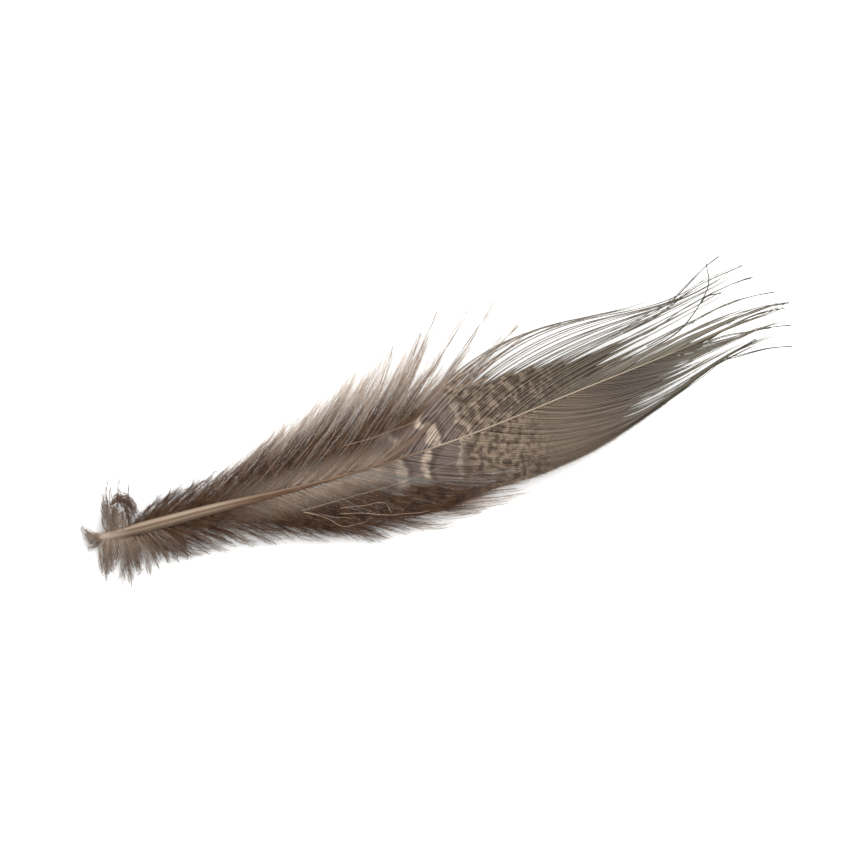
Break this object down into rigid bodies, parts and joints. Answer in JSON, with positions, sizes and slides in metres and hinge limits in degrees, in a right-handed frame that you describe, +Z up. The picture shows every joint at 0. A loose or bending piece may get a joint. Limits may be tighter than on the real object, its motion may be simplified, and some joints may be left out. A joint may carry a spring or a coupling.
{
  "type": "pheasant rump feather",
  "caption": "Loose barred brown pheasant rump feather lying flat, downy near its quill, with long bare strands at its tip.",
  "frame": {"origin": "on the surface the feather lies on, below the middle of its outline", "axes": "+X from the quill to the tip, +Y across to the side with the long wisps, +Z up"},
  "size_m": [0.0922, 0.0276, 0.0075],
  "materials": {
    "feather": "soft grey-brown barbs and down, cream bars near the middle, pale quill"
  },
  "bodies": {
    "root": {"feather": "feather"}
  },
  "joints": []
}
